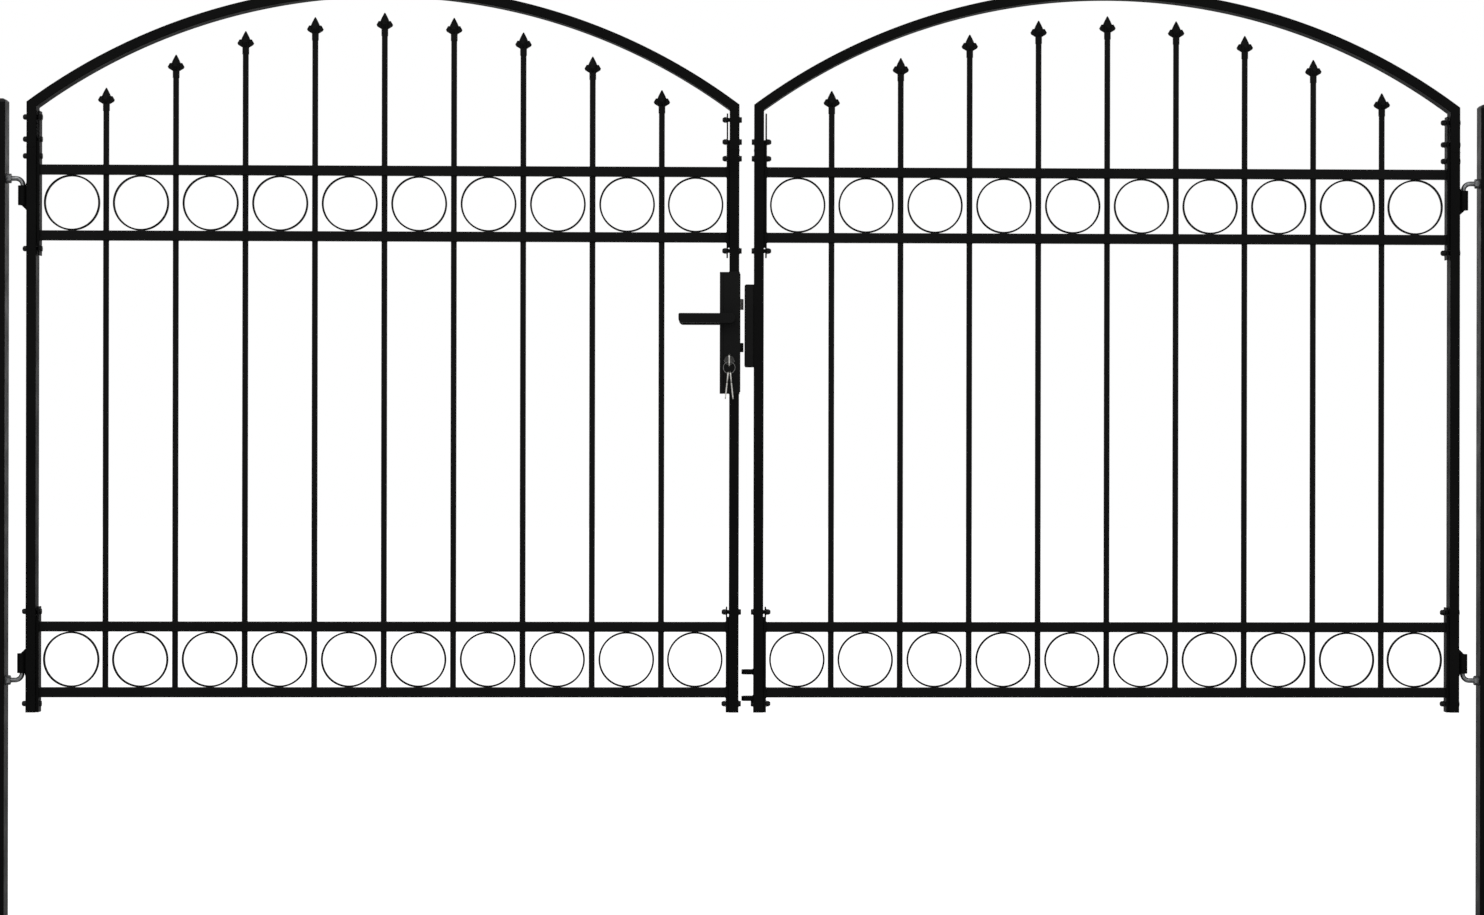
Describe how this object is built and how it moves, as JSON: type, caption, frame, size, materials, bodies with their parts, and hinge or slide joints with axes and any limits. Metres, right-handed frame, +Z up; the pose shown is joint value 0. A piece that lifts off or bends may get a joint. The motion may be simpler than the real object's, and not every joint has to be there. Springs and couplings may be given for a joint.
{
  "type": "double garden gate",
  "caption": "Double garden gate of black tube with arched tops, ring bands and spear-headed pickets, hung on bent pins between square posts and closed by a lever lock.",
  "frame": {"origin": "middle of the left post's foot", "axes": "+X along the gate to the right post, +Y away from the visitor, the way the leaves open, +Z up"},
  "size_m": [3.124, 0.1186, 1.9959],
  "materials": {
    "black_powder_coat": "semi-matt black powder coat on steel",
    "black_plastic": "matt black moulded plastic",
    "zinc_steel": "dull zinc-plated steel",
    "lock_steel": "satin steel",
    "key_metal": "bright nickel plate"
  },
  "bodies": {
    "posts": {"left_post": "black_powder_coat", "left_post_cap": "black_plastic", "left_hinge_pins": "zinc_steel", "left_hinge_nuts": "zinc_steel", "right_post": "black_powder_coat", "right_post_cap": "black_plastic", "right_hinge_pins": "zinc_steel", "right_hinge_nuts": "zinc_steel"},
    "left_leaf": {"left_arch": "black_powder_coat", "left_hinge_stile": "black_powder_coat", "left_meeting_stile": "black_powder_coat", "left_upper_rails": "black_powder_coat", "left_lower_rails": "black_powder_coat", "left_pickets": "black_powder_coat", "left_spearheads": "black_powder_coat", "left_upper_rings": "black_powder_coat", "left_lower_rings": "black_powder_coat", "left_end_channels": "black_powder_coat", "left_hinge_barrels": "black_powder_coat", "lock_case": "black_powder_coat", "lock_side_box": "black_powder_coat", "key_cylinder": "lock_steel", "key_in_lock": "key_metal", "key_ring": "key_metal", "spare_keys": "key_metal"},
    "right_leaf": {"right_arch": "black_powder_coat", "right_hinge_stile": "black_powder_coat", "right_meeting_stile": "black_powder_coat", "right_upper_rails": "black_powder_coat", "right_lower_rails": "black_powder_coat", "right_pickets": "black_powder_coat", "right_spearheads": "black_powder_coat", "right_upper_rings": "black_powder_coat", "right_lower_rings": "black_powder_coat", "right_end_channels": "black_powder_coat", "right_hinge_barrels": "black_powder_coat", "keeper": "black_powder_coat", "drop_rod_lugs": "black_powder_coat"},
    "lever": {"front_lever": "black_powder_coat", "back_lever": "black_powder_coat", "lever_spindle": "lock_steel"},
    "latch": {"latch": "lock_steel"},
    "dead_bolt": {"dead_bolt": "black_powder_coat"}
  },
  "joints": [
    {"name": "left_leaf_swing", "type": "hinge", "parent": "posts", "child": "left_leaf", "pos_m": [0.057, 0, 0.52], "axis": [0, 0, 1], "range_deg": [0, 95]},
    {"name": "right_leaf_swing", "type": "hinge", "parent": "posts", "child": "right_leaf", "pos_m": [2.993, 0, 0.52], "axis": [0, 0, -1], "range_deg": [0, 95]},
    {"name": "lever_press", "type": "hinge", "parent": "left_leaf", "child": "lever", "pos_m": [1.492, 0, 1.321], "axis": [0, -1, 0], "range_deg": [0, 40], "stiffness_Nm_per_rad": 1, "springref_deg": -34.38},
    {"name": "latch_slide", "type": "slide", "parent": "left_leaf", "child": "latch", "axis": [-1, 0, 0], "range_m": [0, 0.0071]},
    {"name": "dead_bolt_throw", "type": "slide", "parent": "left_leaf", "child": "dead_bolt", "axis": [1, 0, 0], "range_m": [-0.0066, 0.012]}
  ],
  "couplings": [
    {"joint": "latch_slide", "follows": "lever_press", "m_per_rad": 0.01}
  ]
}
